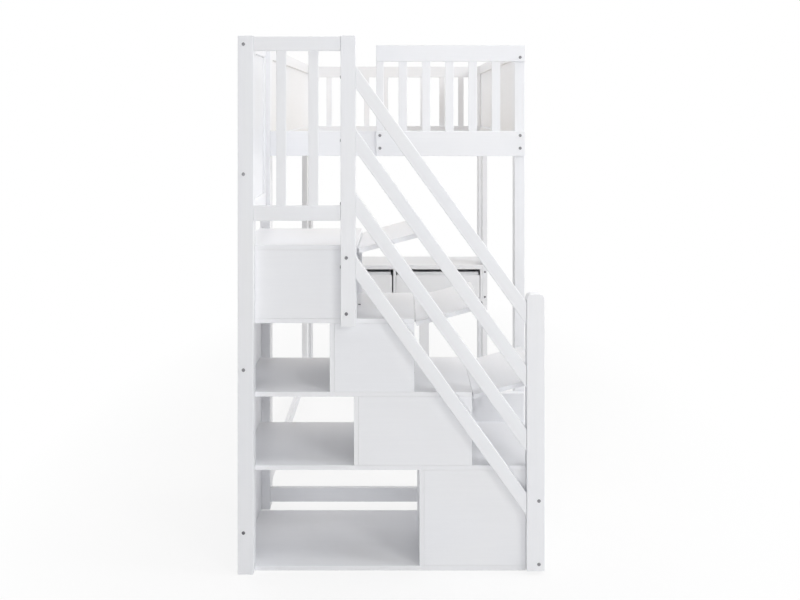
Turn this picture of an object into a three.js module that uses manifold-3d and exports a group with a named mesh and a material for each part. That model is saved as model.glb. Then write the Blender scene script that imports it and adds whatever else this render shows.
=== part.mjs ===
// Loft bed with storage stairs at one end and a desk with two drawers under the other end.
// Millimetres, Z up. X runs across the bed, Y from the stairs towards the desk.
// The origin lies on the floor under the middle of the bed's outline.
import * as THREE from 'three';
import { mergeVertices } from 'three/addons/utils/BufferGeometryUtils.js';
import ManifoldModule from 'manifold-3d';

const wasm = await ManifoldModule();
wasm.setup();

// Overall size and the gap that touching pieces keep
const bedWidth = 1067;
const totalLength = 2515;
const underBedHeight = 1428;
const guardHeight = 446;
const totalHeight = underBedHeight + guardHeight;
const fitGap = 0.3;

// Boards, rails and slats that repeat
const boardThickness = 16;
const railThickness = 24;
const topRailHeight = 50;
const slatWidth = 34;
const slatThickness = 12;
const slatTenon = 8;
const guardPanelThickness = 8;
const stileWidth = 38;

// Stair unit. The topmost step is the landing, below the bed's underside.
const stairDepth = 480;
const stepCount = 4;
const firstStepHeight = 368;
const landingDrop = 288;
const stepRise = (underBedHeight - landingDrop - firstStepHeight) / (stepCount - 1);
const stepRun = 202;
const landingLength = 412.5;
const firstStepSetback = 3.5;
const lowCubbyWidth = 632.5;
const middleCubbyWidth = 402.5;
const highCubbyWidth = 317.5;
const sidePanelThickness = 6;
const stairBackThickness = 6;

// Posts and handrails at the open side of the stairs
const frontPostWidth = 54.5;
const frontPostDepth = 54;
const railingThickness = 30;
const landingPostWidth = 52;
const landingPostSetback = 3;
const landingPostTail = 21.5;
const newelWidth = 62;
const newelDepth = 46;
const newelHeight = 974;
const newelFloorGap = 11.5;
const newelCornerRadius = 18;
const cornerSegments = 6;
const handrailCount = 4;
const handrailThickness = 24;
const handrailTopSetdown = 105;
const handrailNewelSetdown = 29.5;
const handrailSpacing = 221;
const handrailVerticalHeight = 78;

// Guard around the landing
const landingSlatCount = 2;
const landingGuardTopSetdown = 3;
const landingGuardFootGap = 89;
const landingLowRailHeight = 52;

// Flap doors in the risers, on butt hinges as long as the pivot rod
const flapOpenAngle = 105;
const flapEndGap = 1;
const flapFootGap = 3;
const hingeLength = 380;
const hingeKnuckleCount = 5;
const hingeKnuckleGap = 0.5;
const hingeKnuckleRadius = 3;
const hingeKnuckleSides = 16;
const hingeRodRadius = 1.2;
const hingeBoreRadius = 1.6;
const hingeLeafThickness = 1.5;
const hingeLeafWidth = 10;
const hingeLeafBite = 0.5;

// Rails that tie the stairs to the bed
const stairToGuardGap = 25;
const upperLinkHeight = 141;
const lowerLinkHeight = 112;
const lowerLinkSetback = 8.5;

// Bed frame
const nearLegWidth = 40;
const nearLegDepth = 73;
const farLegWidth = 28.5;
const farLegDepth = 110;
const nearRailHeight = 100;
const sideRailHeight = 80;
const ledgerSection = 20;
const endGuardRailHeight = 66;
const nearSlatCount = 5;
const farSlatCount = 8;
const entryWidth = 468.5;
const entryStileWidth = 30;
const stretcherBottom = 32;
const stretcherHeight = 56;
const stretcherThickness = 20;

// Slat base
const baseSlatCount = 14;
const baseSlatWidth = 70;
const baseSlatSideGap = 4;
const strapWidth = 25;
const strapThickness = 2;
const strapBite = 0.5;
const strapInset = 220;

// Bolt heads on the outer faces. Heights are from the floor, setdowns from the top of the piece.
const boltHeadRadius = 6;
const boltHeadHeight = 3;
const boltHeadBite = 1;
const boltHeadSides = 12;
const postBoltInset = 20;
const frontPostBoltSetdowns = [30, 482];
const frontPostBoltHeights = [711, 145];
const sidePostBoltSetdowns = [33, 489];
const landingPostBoltRises = [45, 240];
const newelBoltHeights = [36, 256];
const newelBoltDrop = 5.5;
const guardBoltSetdown = 49;
const guardRailBoltSetdowns = [17, 68];
const legBoltSetdown = 23;
const sideRailBoltSetdowns = [12, 40];
const deskBoltSetdowns = [15, 159];

// Desk and drawers
const deskHeight = 715;
const deskTopThickness = 24;
const deskDepth = 308;
const deskBackSetback = 73;
const deskBodyHeight = 182;
const deskSideDepth = 96;
const deskLegWidth = 55.5;
const deskLegDepth = 28;
const deskLegOffset = 170.75;
const deskLegSetback = 32;
const drawerFrontSetback = 4;
const drawerFrontGap = 2;
const dividerSetback = 8;
const dividerGapLeft = 7.5;
const dividerGapRight = 1;
const fingerGapHeight = 35;
const drawerBoxInset = 7;
const drawerWallThickness = 12;
const drawerFloorThickness = 6;
const drawerTopGap = 18.5;
const drawerBackGap = 8;
const deskEndThickness = 12;

// A stretch of one axis from low to high
function span(low, high) {
  return { low, high, size: high - low, middle: (low + high) / 2 };
}

// The same stretch with the fit gap taken off both of its ends
function fitted(low, high) {
  return span(low + fitGap, high - fitGap);
}

// Places that several pieces share. Y is measured from the front plane of the stairs.
const leftX = -bedWidth / 2;
const rightX = bedWidth / 2;
const stairFrontY = railingThickness + fitGap;
const panelBackY = stairFrontY + boardThickness;
const frontPostX = span(leftX, leftX + frontPostWidth);
const landingX = leftX + landingLength;
const landingPostX = span(landingX - landingPostSetback - landingPostWidth, landingX - landingPostSetback);
const newelX = span(rightX - newelWidth, rightX);
const stairLeftX = leftX + sidePanelThickness + fitGap;

const stairBackY = fitted(stairDepth, stairDepth + stairBackThickness + fitGap + fitGap);
const guardFrontY = stairDepth + stairToGuardGap;
const nearLegFrontY = guardFrontY + boardThickness;
const nearLegBackY = nearLegFrontY + nearLegDepth;
const farLegBackY = totalLength - boardThickness;
const farLegFrontY = farLegBackY - farLegDepth;
const deskBackY = farLegBackY - deskBackSetback;
const deskFrontY = deskBackY - deskDepth;
const sideRailTop = underBedHeight + sideRailHeight;
const deskTopUnderside = deskHeight - deskTopThickness;
const deskBottomTop = deskTopUnderside - deskBodyHeight + boardThickness;

// Height of the upper face of a step, where level 0 is the board on the floor
function levelTop(level) {
  return level === 0 ? boardThickness : firstStepHeight + (level - 1) * stepRise;
}

// Underside of the board of a level
function levelUnderside(level) {
  return levelTop(level) - boardThickness;
}

// Right end of the board of a level: the lowest reaches the newel's outer face
function stepEdgeX(level) {
  return level <= 1 ? rightX - firstStepSetback : landingX + (stepCount - level) * stepRun;
}

// Free height between two boards, where the upright boards of a level stand
function levelOpening(level) {
  return fitted(levelTop(level - 1), levelUnderside(level));
}

// White satin paint on wood
function whitePaint() {
  return new THREE.MeshStandardMaterial({ color: 0xf1f2f4, roughness: 0.45, metalness: 0 });
}

// Zinc-plated steel of the hinges
function hingeSteel() {
  return new THREE.MeshStandardMaterial({ color: 0xd9dbde, roughness: 0.35, metalness: 0.8 });
}

// Webbing and bare pine of the slat base
function barePine() {
  return new THREE.MeshStandardMaterial({ color: 0xe6cfa6, roughness: 0.6, metalness: 0 });
}

function named(name, geometry, material) {
  const mesh = new THREE.Mesh(geometry, material);
  mesh.name = name;
  return mesh;
}

// A straight board or post that fills three spans
function board(name, x, y, z) {
  const mesh = named(name, new THREE.BoxGeometry(x.size, y.size, z.size), whitePaint());
  mesh.position.set(x.middle, y.middle, z.middle);
  return mesh;
}

// The same block as a bare geometry, for pieces that are glued up from several
function block(x, y, z) {
  const geometry = new THREE.BoxGeometry(x.size, y.size, z.size);
  return geometry.translate(x.middle, y.middle, z.middle);
}

// Outline in the X-Y plane, extruded upwards over a span of Z
function flatExtrusion(points, z) {
  const shape = new THREE.Shape(points.map(([x, y]) => new THREE.Vector2(x, y)));
  const geometry = new THREE.ExtrudeGeometry(shape, { depth: z.size, bevelEnabled: false });
  return geometry.translate(0, 0, z.low);
}

// Outline in the X-Z plane, extruded over a span of Y
function uprightExtrusion(shape, y) {
  const options = { depth: y.size, bevelEnabled: false, curveSegments: cornerSegments };
  const geometry = new THREE.ExtrudeGeometry(shape, options);
  return geometry.rotateX(Math.PI / 2).translate(0, y.high, 0);
}

// A round bar along Y
function roundBar(radius, x, y, z) {
  const geometry = new THREE.CylinderGeometry(radius, radius, y.size, hingeKnuckleSides);
  return geometry.translate(x, y.middle, z);
}

function solidOf(geometry) {
  const bare = geometry.clone();
  bare.deleteAttribute('normal');
  bare.deleteAttribute('uv');
  const merged = mergeVertices(bare);
  const vertProperties = new Float32Array(merged.attributes.position.array);
  const triVerts = new Uint32Array(merged.index.array);
  return new wasm.Manifold(new wasm.Mesh({ numProp: 3, vertProperties, triVerts }));
}

function geometryOf(solid) {
  const result = solid.getMesh();
  const geometry = new THREE.BufferGeometry();
  geometry.setAttribute('position', new THREE.BufferAttribute(result.vertProperties, result.numProp));
  geometry.setIndex(new THREE.BufferAttribute(result.triVerts, 1));
  geometry.computeVertexNormals();
  return geometry;
}

// Several blocks glued into one piece
function glued(geometries) {
  return geometries.map(solidOf).reduce((whole, next) => whole.add(next));
}

// Head of a bolt that stands out of a face. The sign says which way the face looks.
function headAlongX(sign, x, y, z) {
  const head = new THREE.CylinderGeometry(
    boltHeadRadius, boltHeadRadius, boltHeadHeight + boltHeadBite, boltHeadSides);
  const shift = sign * (boltHeadHeight - boltHeadBite) / 2;
  return head.rotateZ(Math.PI / 2).translate(x + shift, y, z);
}

function headAlongY(sign, x, y, z) {
  const head = new THREE.CylinderGeometry(
    boltHeadRadius, boltHeadRadius, boltHeadHeight + boltHeadBite, boltHeadSides);
  const shift = sign * (boltHeadHeight - boltHeadBite) / 2;
  return head.translate(x, y + shift, z);
}

// A straight board with bolt heads on it
function boltedBoard(name, x, y, z, heads) {
  return named(name, geometryOf(glued([block(x, y, z), ...heads])), whitePaint());
}

// Upright slats that share a gap equally, let into the rails above and below by a tenon
function slatRow(count, x, y, z) {
  const gap = (x.size - count * slatWidth) / (count + 1);
  const slats = [];
  for (let index = 0; index < count; index += 1) {
    const low = x.low + gap + index * (slatWidth + gap);
    slats.push(block(span(low, low + slatWidth), y, z));
  }
  return slats;
}

// Slats stand in the middle of the thickness of their rails
function slatSpanWithin(y) {
  return span(y.middle - slatThickness / 2, y.middle + slatThickness / 2);
}

// Posts of the stairs

function frontLeftPost() {
  const y = span(0, frontPostDepth);
  const frontHeights = [
    ...frontPostBoltSetdowns.map((setdown) => totalHeight - setdown),
    ...frontPostBoltHeights,
  ];
  const boltX = leftX + postBoltInset;
  const heads = [
    ...frontHeights.map((height) => headAlongY(-1, boltX, 0, height)),
    ...sidePostBoltSetdowns.map((setdown) => headAlongX(-1, leftX, y.middle, totalHeight - setdown)),
  ];
  return boltedBoard('front_left_post', frontPostX, y, span(0, totalHeight), heads);
}

// Upper edge of a handrail at the landing post and at the newel
function handrailTops(number) {
  const drop = (number - 1) * handrailSpacing;
  return {
    high: totalHeight - handrailTopSetdown - drop,
    low: newelHeight - handrailNewelSetdown - drop,
  };
}

// Heights of the bolts that hold the handrails' upper or lower ends
function handrailBoltHeights(end) {
  const heights = [];
  for (let number = 1; number <= handrailCount; number += 1) {
    heights.push(handrailTops(number)[end] - handrailVerticalHeight / 2);
  }
  return heights;
}

function landingPost() {
  const foot = levelTop(stepCount - 1) - landingPostTail;
  const y = span(0, railingThickness);
  const boltX = landingPostX.low + postBoltInset;
  const heads = [
    ...landingPostBoltRises.map((rise) => headAlongY(-1, boltX, 0, foot + rise)),
    ...handrailBoltHeights('high').map((height) => headAlongX(-1, landingPostX.low, y.middle, height)),
  ];
  return boltedBoard('landing_post', landingPostX, y, span(foot, totalHeight), heads);
}

function newelPost() {
  const corner = newelCornerRadius;
  const top = newelHeight - corner;
  const outline = new THREE.Shape();
  outline.moveTo(newelX.low, newelFloorGap);
  outline.lineTo(newelX.high, newelFloorGap);
  outline.lineTo(newelX.high, top);
  outline.absarc(newelX.high - corner, top, corner, 0, Math.PI / 2, false);
  outline.absarc(newelX.low + corner, top, corner, Math.PI / 2, Math.PI, false);
  const y = span(0, newelDepth);
  const boltX = newelX.high - postBoltInset;
  const sideHeights = handrailBoltHeights('low').map((height) => height - newelBoltDrop);
  const heads = [
    ...newelBoltHeights.map((height) => headAlongY(-1, boltX, 0, height)),
    ...sideHeights.map((height) => headAlongX(1, newelX.high, y.middle, height)),
  ];
  const solid = glued([uprightExtrusion(outline, y), ...heads]);
  return named('newel_post', geometryOf(solid), whitePaint());
}

// Four parallel handrails, cut upright at both ends to butt against the posts
function handrail(number) {
  const x = fitted(landingPostX.high, newelX.low);
  const top = handrailTops(number);
  const outline = new THREE.Shape();
  outline.moveTo(x.low, top.high);
  outline.lineTo(x.low, top.high - handrailVerticalHeight);
  outline.lineTo(x.high, top.low - handrailVerticalHeight);
  outline.lineTo(x.high, top.low);
  const inset = (railingThickness - handrailThickness) / 2;
  const y = span(inset, railingThickness - inset);
  return named(`handrail_${number}`, uprightExtrusion(outline, y), whitePaint());
}

// Stair boards

// The board of a level, notched round the front left post and, at the two lowest, round the newel
function stairBoard(name, level) {
  const z = span(levelUnderside(level), levelTop(level));
  const notchX = frontPostX.high + fitGap;
  const notchY = frontPostDepth + fitGap;
  const edgeX = stepEdgeX(level);
  const rightCorner = level > 1 ? [[edgeX, stairFrontY]] : [
    [newelX.low - fitGap, stairFrontY],
    [newelX.low - fitGap, newelDepth + fitGap],
    [edgeX, newelDepth + fitGap],
  ];
  const points = [
    [notchX, stairFrontY],
    ...rightCorner,
    [edgeX, stairDepth],
    [stairLeftX, stairDepth],
    [stairLeftX, notchY],
    [notchX, notchY],
  ];
  return named(name, flatExtrusion(points, z), whitePaint());
}

// Left end of the closed compartment of a level
function compartmentLeftX(level) {
  const cubbyWidths = [lowCubbyWidth, middleCubbyWidth, highCubbyWidth];
  return level === stepCount ? frontPostX.high : leftX + cubbyWidths[level - 1] + boardThickness;
}

// Upright board between the open cubby and the closed compartment of a level
function stairDivider(level) {
  const high = compartmentLeftX(level);
  const x = span(high - boardThickness, high);
  return board(`stair_divider_${level}`, x, span(stairFrontY, stairDepth), levelOpening(level));
}

// Panel that closes a compartment towards the outer side
function outerPanel(level) {
  const rightEnd = level > 1 ? stepEdgeX(level) : newelX.low - fitGap;
  const x = span(compartmentLeftX(level) + fitGap, rightEnd);
  return board(`outer_panel_${level}`, x, span(stairFrontY, panelBackY), levelOpening(level));
}

// Thin sheet behind all the closed compartments. It leaves the open cubbies open.
function stairBackPanel() {
  const outline = new THREE.Shape();
  outline.moveTo(stepEdgeX(1), 0);
  for (let level = 1; level <= stepCount; level += 1) {
    outline.lineTo(stepEdgeX(level), levelTop(level - 1));
    outline.lineTo(stepEdgeX(level), levelTop(level));
  }
  outline.lineTo(stairLeftX, levelTop(stepCount));
  outline.lineTo(stairLeftX, levelUnderside(stepCount - 1));
  for (let level = stepCount - 1; level >= 1; level -= 1) {
    const dividerLeftX = compartmentLeftX(level) - boardThickness;
    const foot = level === 1 ? 0 : levelUnderside(level - 1);
    outline.lineTo(dividerLeftX, levelUnderside(level));
    outline.lineTo(dividerLeftX, foot);
  }
  return named('stair_back_panel', uprightExtrusion(outline, stairBackY), whitePaint());
}

function leftSidePanel() {
  const x = span(leftX, leftX + sidePanelThickness);
  const y = fitted(frontPostDepth, nearLegFrontY);
  return board('left_side_panel', x, y, span(0, levelTop(stepCount)));
}

// The lowest riser is a fixed panel behind the newel
function riserPanel() {
  const edgeX = stepEdgeX(1);
  const x = span(edgeX - boardThickness, edgeX);
  return board('riser_panel', x, span(newelDepth + fitGap, stairDepth), levelOpening(1));
}

// Flap doors

// Pivot of the flap of a level, just outside the lower edge of its step
function flapPivot(level) {
  return {
    x: stepEdgeX(level) + fitGap + hingeKnuckleRadius,
    z: levelUnderside(level) - fitGap - hingeLeafThickness - fitGap,
  };
}

const flapY = span(panelBackY + flapEndGap, stairDepth - flapEndGap);

// Lengths of the knuckles of one hinge leaf: the fixed leaf has the odd ones
function knuckleSpans(first) {
  const pitch = hingeLength / hingeKnuckleCount;
  const start = flapY.middle - hingeLength / 2;
  const spans = [];
  for (let index = first; index < hingeKnuckleCount; index += 2) {
    const low = start + index * pitch;
    spans.push(span(low + hingeKnuckleGap / 2, low + pitch - hingeKnuckleGap / 2));
  }
  return spans;
}

// Plate, tabs and knuckles of one leaf, with the pivot at X = Z = 0
function hingeLeaf(first, z) {
  const clearX = -hingeKnuckleRadius - hingeKnuckleGap;
  const y = span(flapY.middle - hingeLength / 2, flapY.middle + hingeLength / 2);
  const pieces = [block(span(-hingeLeafWidth - hingeKnuckleRadius, clearX), y, z)];
  for (const knuckle of knuckleSpans(first)) {
    pieces.push(block(span(clearX - hingeKnuckleGap, 0), knuckle, z));
    pieces.push(roundBar(hingeKnuckleRadius, 0, knuckle, 0));
  }
  return glued(pieces);
}

// Fixed leaf under the step, with the pivot rod
function flapHinge(level) {
  const leaf = hingeLeaf(0, span(fitGap, fitGap + hingeLeafThickness));
  const rodY = span(flapY.middle - hingeLength / 2, flapY.middle + hingeLength / 2);
  const solid = leaf.add(solidOf(roundBar(hingeRodRadius, 0, rodY, 0)));
  const mesh = named(`flap_hinge_${level}`, geometryOf(solid), hingeSteel());
  const pivot = flapPivot(level);
  mesh.position.set(pivot.x, 0, pivot.z);
  return mesh;
}

// Flap with its own hinge leaf, drawn hanging closed and then swung open about the pivot.
// Its outer face is flush with the knuckles, which lie in a rebate along its upper edge.
function riserFlap(level) {
  const pivot = flapPivot(level);
  const leafZ = span(-fitGap - hingeLeafThickness, -fitGap);
  const foot = levelTop(level - 1) + flapFootGap - pivot.z;
  const clear = -hingeKnuckleRadius - hingeKnuckleGap;
  const x = span(hingeKnuckleRadius - boardThickness, hingeKnuckleRadius);
  const boards = [
    block(x, flapY, span(foot, clear)),
    block(span(x.low, clear), flapY, span(foot, leafZ.low + hingeLeafBite)),
  ];
  const rodHole = roundBar(hingeBoreRadius, 0, span(0, stairDepth), 0);
  const solid = hingeLeaf(1, leafZ).add(glued(boards)).subtract(solidOf(rodHole));
  const mesh = named(`riser_flap_${level}`, geometryOf(solid), whitePaint());
  mesh.position.set(pivot.x, 0, pivot.z);
  mesh.rotation.y = -THREE.MathUtils.degToRad(flapOpenAngle);
  return mesh;
}

// Guards of the landing

// Two slats between an upper and a lower rail
function landingFrontGuard() {
  const x = fitted(frontPostX.high, landingPostX.low);
  const inset = (railingThickness - railThickness) / 2;
  const y = span(inset, railingThickness - inset);
  const top = totalHeight - landingGuardTopSetdown;
  const foot = levelTop(stepCount) + landingGuardFootGap;
  const upperRail = span(top - topRailHeight, top);
  const lowerRail = span(foot, foot + landingLowRailHeight);
  const slatZ = span(lowerRail.high - slatTenon, upperRail.low + slatTenon);
  const slats = slatRow(landingSlatCount, x, slatSpanWithin(y), slatZ);
  const solid = glued([block(x, y, upperRail), block(x, y, lowerRail), ...slats]);
  return named('landing_front_guard', geometryOf(solid), whitePaint());
}

// Rail, stiles and a thin panel let into them, for the long sides
function framedPanel(name, outerX, y, foot, stileSpans, hasFootRail) {
  const inward = -Math.sign(outerX);
  const railX = span(Math.min(outerX, outerX + inward * railThickness),
    Math.max(outerX, outerX + inward * railThickness));
  const panelX = span(railX.middle - guardPanelThickness / 2, railX.middle + guardPanelThickness / 2);
  const whole = span(foot, totalHeight);
  const pieces = [block(panelX, y, whole)];
  pieces.push(block(railX, y, span(totalHeight - topRailHeight, totalHeight)));
  for (const stile of stileSpans) {
    pieces.push(block(railX, stile, whole));
  }
  if (hasFootRail) {
    pieces.push(block(railX, y, span(foot, foot + landingLowRailHeight)));
  }
  return named(name, geometryOf(glued(pieces)), whitePaint());
}

function landingSideGuard() {
  const y = fitted(frontPostDepth, nearLegFrontY);
  const foot = levelTop(stepCount) + landingGuardFootGap;
  const stile = span(y.high - stileWidth, y.high);
  return framedPanel('landing_side_guard', leftX, y, foot, [stile], true);
}

// Rails between the stairs and the bed

function upperLinkRail() {
  const x = span(stairLeftX, landingX);
  const top = levelUnderside(stepCount);
  const y = fitted(stairBackY.high, nearLegFrontY);
  return board('upper_link_rail', x, y, span(top - upperLinkHeight, top));
}

function lowerLinkRail() {
  const x = span(landingX + fitGap, rightX - lowerLinkSetback);
  const foot = levelUnderside(1);
  const y = fitted(stairBackY.high, nearLegFrontY);
  return board('lower_link_rail', x, y, span(foot, foot + boardThickness + lowerLinkHeight));
}

// Bed frame

// A leg with the bolts of the long guard and the long rail on its outer face
function leg(name, side, width, y) {
  const outer = side * bedWidth / 2;
  const inner = outer - side * width;
  const x = span(Math.min(outer, inner), Math.max(outer, inner));
  const heights = [
    totalHeight - legBoltSetdown,
    ...sideRailBoltSetdowns.map((setdown) => sideRailTop - setdown),
  ];
  const heads = heights.map((height) => headAlongX(side, outer, y.middle, height));
  return boltedBoard(name, x, y, span(0, totalHeight), heads);
}

function nearLeg(name, side) {
  return leg(name, side, nearLegWidth, span(nearLegFrontY, nearLegBackY));
}

function farLeg(name, side) {
  return leg(name, side, farLegWidth, span(farLegFrontY, farLegBackY));
}

function nearEndRail() {
  const x = fitted(leftX + nearLegWidth, rightX - nearLegWidth);
  const y = span(nearLegFrontY, nearLegFrontY + railThickness);
  return board('near_end_rail', x, y, span(underBedHeight, underBedHeight + nearRailHeight));
}

function farEndRail() {
  const x = fitted(leftX + farLegWidth, rightX - farLegWidth);
  const y = span(farLegBackY - railThickness, farLegBackY);
  return board('far_end_rail', x, y, span(underBedHeight, sideRailTop));
}

// Long rail with the ledger that carries the slat base
function sideRail(name, side) {
  const outer = side * bedWidth / 2;
  const inner = outer - side * railThickness;
  const ledgerInner = inner - side * ledgerSection;
  const y = fitted(nearLegBackY, farLegFrontY);
  const ledgerZ = span(underBedHeight, underBedHeight + ledgerSection);
  const rail = block(span(Math.min(outer, inner), Math.max(outer, inner)), y,
    span(underBedHeight, sideRailTop));
  const ledger = block(span(Math.min(outer, ledgerInner), Math.max(outer, ledgerInner)), y, ledgerZ);
  return named(name, geometryOf(glued([rail, ledger])), whitePaint());
}

// Guard at the stairs' end: it starts beside the entry and is bolted to the leg and end rail
function nearGuard() {
  const leftEnd = leftX + entryWidth;
  const x = span(leftEnd, rightX);
  const y = span(guardFrontY, nearLegFrontY - fitGap);
  const lowRail = span(underBedHeight, underBedHeight + nearRailHeight);
  const topRail = span(totalHeight - endGuardRailHeight, totalHeight);
  const stile = span(leftEnd, leftEnd + entryStileWidth);
  const openX = span(stile.high, rightX - nearLegWidth);
  const slatZ = span(lowRail.high - slatTenon, topRail.low + slatTenon);
  const legBoltX = rightX - postBoltInset;
  const pieces = [
    block(x, y, lowRail),
    block(x, y, topRail),
    block(stile, y, span(lowRail.low, topRail.high)),
    ...slatRow(nearSlatCount, openX, slatSpanWithin(y), slatZ),
    headAlongY(-1, legBoltX, y.low, totalHeight - guardBoltSetdown),
    ...guardRailBoltSetdowns.map((setdown) => headAlongY(-1, legBoltX, y.low, lowRail.high - setdown)),
    ...guardRailBoltSetdowns.map((setdown) => headAlongY(-1, stile.middle, y.low, lowRail.high - setdown)),
  ];
  return named('near_guard', geometryOf(glued(pieces)), whitePaint());
}

// Guard at the desk's end, over the full width
function farGuard() {
  const x = span(leftX, rightX);
  const y = span(farLegBackY + fitGap, totalLength);
  const lowRail = span(underBedHeight, sideRailTop);
  const topRail = span(totalHeight - endGuardRailHeight, totalHeight);
  const openX = span(leftX + farLegWidth, rightX - farLegWidth);
  const slatZ = span(lowRail.high - slatTenon, topRail.low + slatTenon);
  const slats = slatRow(farSlatCount, openX, slatSpanWithin(y), slatZ);
  const pieces = [block(x, y, lowRail), block(x, y, topRail), ...slats];
  for (const side of [-1, 1]) {
    const boltX = side * (rightX - farLegWidth / 2);
    pieces.push(headAlongY(1, boltX, y.high, totalHeight - guardBoltSetdown));
    for (const setdown of sideRailBoltSetdowns) {
      pieces.push(headAlongY(1, boltX, y.high, lowRail.high - setdown));
    }
  }
  return named('far_guard', geometryOf(glued(pieces)), whitePaint());
}

function sideGuard(name, outerX) {
  const y = fitted(nearLegBackY, farLegFrontY);
  const stiles = [span(y.low, y.low + stileWidth), span(y.high - stileWidth, y.high)];
  return framedPanel(name, outerX, y, sideRailTop + fitGap, stiles, false);
}

// Low rails near the floor
function nearStretcher() {
  const x = fitted(leftX + nearLegWidth, rightX - nearLegWidth);
  const y = span(nearLegFrontY, nearLegFrontY + stretcherThickness);
  return board('near_stretcher', x, y, span(stretcherBottom, stretcherBottom + stretcherHeight));
}

function leftStretcher() {
  const x = span(leftX, leftX + stretcherThickness);
  const y = fitted(nearLegBackY, deskFrontY);
  return board('left_stretcher', x, y, span(stretcherBottom, stretcherBottom + stretcherHeight));
}

// Slats on two webbing straps, laid on the ledgers
function bedSlats() {
  const reach = rightX - railThickness - baseSlatSideGap;
  const x = span(-reach, reach);
  const foot = underBedHeight + ledgerSection + fitGap;
  const slatZ = span(foot, foot + slatThickness);
  const strapZ = span(slatZ.high - strapBite, slatZ.high + strapThickness - strapBite);
  const run = span(nearLegBackY, farLegFrontY);
  const pitch = run.size / baseSlatCount;
  const pieces = [];
  for (let index = 0; index < baseSlatCount; index += 1) {
    const middle = run.low + pitch / 2 + index * pitch;
    pieces.push(block(x, span(middle - baseSlatWidth / 2, middle + baseSlatWidth / 2), slatZ));
  }
  const firstMiddle = run.low + pitch / 2;
  const lastMiddle = run.high - pitch / 2;
  for (const side of [-1, 1]) {
    const strapMiddle = side * (reach - strapInset);
    const strapX = span(strapMiddle - strapWidth / 2, strapMiddle + strapWidth / 2);
    pieces.push(block(strapX, span(firstMiddle, lastMiddle), strapZ));
  }
  return named('bed_slats', geometryOf(glued(pieces)), barePine());
}

// Desk

const deskX = fitted(leftX + farLegWidth, rightX - farLegWidth);
const deskInsideX = span(deskX.low + deskEndThickness, deskX.high - deskEndThickness);
const deskInsideY = span(deskFrontY, deskBackY - boardThickness - fitGap);
const dividerX = span(-boardThickness / 2, boardThickness / 2);

function deskTop() {
  return board('desk_top', deskX, span(deskFrontY, deskBackY), span(deskTopUnderside, deskHeight));
}

function deskBottom() {
  const x = fitted(deskInsideX.low, deskInsideX.high);
  const z = span(deskBottomTop - boardThickness, deskBottomTop);
  return board('desk_bottom', x, deskInsideY, z);
}

// Panel that closes the drawers' case at one side
function deskEnd(name, side) {
  const outer = side * deskX.high;
  const inner = side * deskInsideX.high;
  const x = span(Math.min(outer, inner), Math.max(outer, inner));
  const z = span(deskBottomTop - boardThickness, deskTopUnderside - fitGap);
  return board(name, x, deskInsideY, z);
}

function deskBackRail() {
  const y = span(deskBackY - boardThickness, deskBackY);
  const z = span(deskBottomTop - boardThickness, deskTopUnderside - fitGap);
  return board('desk_back_rail', deskX, y, z);
}

function deskDivider() {
  const y = span(deskInsideY.low + dividerSetback, deskInsideY.high);
  return board('desk_divider', dividerX, y, fitted(deskBottomTop, deskTopUnderside));
}

// Upright boards from the floor to the long rails, at the front of the desk
function deskSideBoard(name, side) {
  const outer = side * bedWidth / 2;
  const inner = outer - side * farLegWidth;
  const x = span(Math.min(outer, inner), Math.max(outer, inner));
  const y = span(deskFrontY, deskFrontY + deskSideDepth);
  const heads = deskBoltSetdowns.map(
    (setdown) => headAlongY(-1, x.middle, y.low, deskTopUnderside - setdown));
  return boltedBoard(name, x, y, span(0, underBedHeight - fitGap), heads);
}

function deskLeg() {
  const x = span(deskLegOffset - deskLegWidth / 2, deskLegOffset + deskLegWidth / 2);
  const front = deskFrontY + deskLegSetback;
  const top = deskBottomTop - boardThickness - fitGap;
  return board('desk_leg', x, span(front, front + deskLegDepth), span(0, top));
}

// Drawers, one on each side of the divider

// The left front stops further from the divider than the right one
function drawerFrontX(side) {
  return side < 0
    ? span(deskInsideX.low + drawerFrontGap, dividerX.low - dividerGapLeft)
    : span(dividerX.high + dividerGapRight, deskInsideX.high - drawerFrontGap);
}

const drawerFrontY = span(deskFrontY + drawerFrontSetback,
  deskFrontY + drawerFrontSetback + boardThickness);

function drawerFront(name, side) {
  const z = span(deskBottomTop + drawerFrontGap, deskTopUnderside - fingerGapHeight);
  return board(name, drawerFrontX(side), drawerFrontY, z);
}

// Open box behind the front: a block with its inside taken out from above
function drawerBox(name, side) {
  const front = drawerFrontX(side);
  const x = span(front.low + drawerBoxInset, front.high - drawerBoxInset);
  const back = deskBackY - boardThickness - drawerBackGap;
  const y = span(drawerFrontY.high + fitGap, back);
  const z = span(deskBottomTop + fitGap, deskTopUnderside - drawerTopGap);
  const wall = drawerWallThickness;
  const inside = block(span(x.low + wall, x.high - wall), span(y.low + wall, y.high - wall),
    span(z.low + drawerFloorThickness, z.high + wall));
  const solid = solidOf(block(x, y, z)).subtract(solidOf(inside));
  return named(name, geometryOf(solid), whitePaint());
}

// The assembly, moved so that the origin lies under its middle
const loftBed = new THREE.Group();
loftBed.name = 'loft_bed_with_storage_stairs';
loftBed.position.y = -totalLength / 2;

loftBed.add(frontLeftPost(), landingPost(), newelPost());
for (let number = 1; number <= handrailCount; number += 1) {
  loftBed.add(handrail(number));
}

loftBed.add(stairBoard('stair_base_board', 0));
for (let level = 1; level <= stepCount; level += 1) {
  loftBed.add(stairBoard(`stair_tread_${level}`, level), outerPanel(level));
  if (level < stepCount) {
    loftBed.add(stairDivider(level));
  }
  if (level > 1) {
    loftBed.add(riserFlap(level), flapHinge(level));
  }
}
loftBed.add(leftSidePanel(), riserPanel(), stairBackPanel());
loftBed.add(landingFrontGuard(), landingSideGuard());
loftBed.add(upperLinkRail(), lowerLinkRail());

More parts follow.
